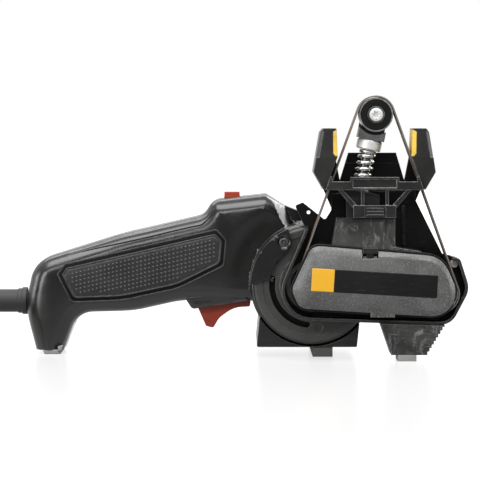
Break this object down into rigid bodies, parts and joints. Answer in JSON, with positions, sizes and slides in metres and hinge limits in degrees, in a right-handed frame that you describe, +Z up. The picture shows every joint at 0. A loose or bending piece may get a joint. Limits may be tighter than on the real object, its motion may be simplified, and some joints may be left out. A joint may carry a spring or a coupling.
{
  "type": "electric knife sharpener",
  "caption": "Hand-held electric belt sharpener: pistol-style grip with trigger and corded motor drum, tilting belt head with sprung idler, belt cover and lift-off knife guide.",
  "frame": {"origin": "middle of the underside of the tool's box (without the cord), on the surface that its three pads stand on", "axes": "+Z up, +X from the cord end of the handle to the belt head, +Y from the belt side to the vented side of the motor"},
  "size_m": [0.3975, 0.127, 0.131],
  "materials": {
    "housing_plastic": "fine satin moulded, black",
    "grip_rubber": "matt black",
    "spine_plastic": "scuffed dark grey",
    "cover_plastic": "scuffed mid grey, glass-filled",
    "red_plastic": "satin red",
    "amber_plastic": "satin amber",
    "steel": "turned or plated",
    "magnet": "ferrite, matt",
    "lamination": "stacked sheet",
    "brass": "plain",
    "copper": "turned copper",
    "fan_plastic": "plain grey",
    "board": "green laminate",
    "cord_jacket": "matt black",
    "roller_metal": "turned",
    "arm_metal": "cast, grey",
    "shield_black": "black",
    "belt_abrasive": "cloth-backed abrasive"
  },
  "bodies": {
    "handle": {"handle_shell_front": "housing_plastic", "handle_shell_rear": "housing_plastic", "grip_inlay_front": "grip_rubber", "grip_inlay_rear": "grip_rubber", "clamshell_screws": "steel", "lug_screw": "steel", "trigger_pin": "steel", "trigger_spring": "steel", "switch_module": "housing_plastic", "lock_button_spring": "steel", "motor_can": "steel", "field_magnets": "magnet", "front_bearing": "steel", "rear_bearing": "steel", "brush_plate": "housing_plastic", "vented_end_cap": "housing_plastic", "rectifier_board": "board", "base_stand": "housing_plastic", "base_pad": "grip_rubber", "handle_pad": "grip_rubber", "strain_relief": "cord_jacket", "power_cord": "cord_jacket", "cord_coil": "cord_jacket", "plug_lead": "cord_jacket", "plug_body": "cord_jacket", "plug_blades": "brass", "retaining_ring": "steel"},
    "trigger_lever": {"trigger": "red_plastic"},
    "switch_stem": {"switch_plunger": "housing_plastic"},
    "lock_button_cap": {"lock_button": "red_plastic"},
    "drive_line": {"rotor_core": "lamination", "commutator": "copper", "motor_shaft": "steel", "cooling_fan": "fan_plastic", "drive_pulley": "roller_metal"},
    "head": {"cassette_shell": "housing_plastic", "index_ring": "housing_plastic", "spine": "spine_plastic", "head_screws": "steel", "lower_roller_axle": "steel", "sanding_belt": "belt_abrasive", "cassette_foot": "spine_plastic", "cassette_foot_pad": "grip_rubber", "tension_spring": "steel"},
    "lower_roller_body": {"lower_roller": "roller_metal"},
    "cover": {"belt_cover": "cover_plastic"},
    "cover_latch_tab": {"cover_latch": "housing_plastic"},
    "tensioner": {"tensioner_arm": "arm_metal", "tensioner_rod": "steel", "spring_collar": "steel", "idler_screw": "steel"},
    "idler": {"idler_roller": "roller_metal", "idler_shield": "shield_black"},
    "guide": {"guide_wing_left": "housing_plastic", "guide_wing_right": "housing_plastic", "guide_edge_left": "amber_plastic", "guide_edge_right": "amber_plastic", "guide_plate": "housing_plastic", "guide_bridge": "housing_plastic"},
    "guide_latch_tab": {"guide_latch": "housing_plastic"}
  },
  "joints": [
    {"name": "head_tilt", "type": "hinge", "parent": "handle", "child": "head", "pos_m": [0.0342, 0, 0.0364], "axis": [0, 1, 0], "range_deg": [0, 90]},
    {"name": "drive_spin", "type": "hinge", "parent": "handle", "child": "drive_line", "pos_m": [0.0342, 0, 0.0364], "axis": [0, 1, 0], "continuous": true},
    {"name": "lower_roller_spin", "type": "hinge", "parent": "head", "child": "lower_roller_body", "pos_m": [0.0972, -0.03405, 0.0332], "axis": [0, 1, 0], "continuous": true},
    {"name": "tensioner_slide", "type": "slide", "parent": "head", "child": "tensioner", "axis": [-0.2028, 0, -0.9792], "range_m": [0, 0.008], "stiffness_N_per_m": 900, "springref_m": -0.012, "deforming": ["tension_spring", "sanding_belt"]},
    {"name": "idler_spin", "type": "hinge", "parent": "tensioner", "child": "idler", "pos_m": [0.06502, -0.03405, 0.12153], "axis": [0, 1, 0], "continuous": true},
    {"name": "trigger_pull", "type": "hinge", "parent": "handle", "child": "trigger_lever", "pos_m": [0.0006, 0.011, 0.0294], "axis": [0, 1, 0], "range_deg": [0, 8], "stiffness_Nm_per_rad": 0.35, "springref_deg": -14.32, "deforming": ["trigger_spring"]},
    {"name": "switch_stem_slide", "type": "slide", "parent": "handle", "child": "switch_stem", "axis": [0, 0, 1], "range_m": [0, 0.0021]},
    {"name": "lock_button_press", "type": "slide", "parent": "handle", "child": "lock_button_cap", "axis": [0, 0, -1], "range_m": [0, 0.002], "stiffness_N_per_m": 400, "springref_m": -0.002, "deforming": ["lock_button_spring"]},
    {"name": "cover_release", "type": "slide", "parent": "head", "child": "cover", "axis": [0, -1, 0], "range_m": [0, 0.03]},
    {"name": "cover_latch_press", "type": "slide", "parent": "cover", "child": "cover_latch_tab", "axis": [0, 0, -1], "range_m": [0, 0.0015], "stiffness_N_per_m": 500, "springref_m": -0.0015},
    {"name": "guide_lift", "type": "slide", "parent": "head", "child": "guide", "axis": [0, 0, 1], "range_m": [0, 0.065]},
    {"name": "guide_latch_press", "type": "hinge", "parent": "guide", "child": "guide_latch_tab", "pos_m": [0.0641, -0.0451, 0.0754], "axis": [1, 0, 0], "range_deg": [-10, 0], "stiffness_Nm_per_rad": 0.05, "springref_deg": 5.73}
  ],
  "couplings": [
    {"joint": "lower_roller_spin", "follows": "drive_spin", "ratio": 1},
    {"joint": "idler_spin", "follows": "drive_spin", "ratio": 1},
    {"joint": "switch_stem_slide", "follows": "trigger_pull", "m_per_rad": 0.0147}
  ]
}
